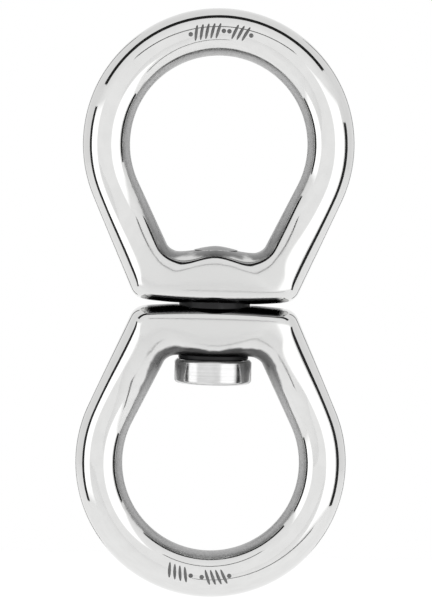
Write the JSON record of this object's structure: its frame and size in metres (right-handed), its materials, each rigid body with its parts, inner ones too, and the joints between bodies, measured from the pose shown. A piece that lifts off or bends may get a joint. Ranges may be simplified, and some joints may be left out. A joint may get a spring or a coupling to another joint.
{
  "type": "anchor swivel",
  "caption": "Eye-and-eye anchor swivel: two forged stainless bow eyes that turn freely against each other on a riveted axle with a round head.",
  "frame": {"origin": "on the swivel axis, midway between the faces of the two eyes, which is the middle of the whole object", "axes": "+Z along the swivel axis, up through the upper eye; both eyes lie in the XZ plane at rest, and -Y faces the viewer"},
  "size_m": [0.0576, 0.017, 0.125],
  "materials": {
    "polished_316l": "drop-forged 316L stainless steel, hand polished to a mirror, with faint waviness left by the polishing",
    "turned_steel": "stainless steel, finely turned, with tool marks round it",
    "black_acetal": "black acetal, turned",
    "bronze": "plain bearing bronze"
  },
  "bodies": {
    "upper_eye_and_axle": {"upper_bail": "polished_316l", "axle": "turned_steel"},
    "lower_eye": {"lower_bail": "polished_316l", "bush": "bronze"},
    "thrust_washer": {"thrust_washer": "black_acetal"},
    "head_washer": {"head_washer": "black_acetal"}
  },
  "joints": [
    {"name": "swivel", "type": "hinge", "parent": "upper_eye_and_axle", "child": "lower_eye", "pos_m": [0, 0, 0], "axis": [0, 0, 1], "continuous": true},
    {"name": "thrust_washer_spin", "type": "hinge", "parent": "upper_eye_and_axle", "child": "thrust_washer", "pos_m": [0, 0, 0], "axis": [0, 0, 1], "continuous": true},
    {"name": "head_washer_spin", "type": "hinge", "parent": "upper_eye_and_axle", "child": "head_washer", "pos_m": [0, 0, -0.0111], "axis": [0, 0, 1], "continuous": true}
  ]
}
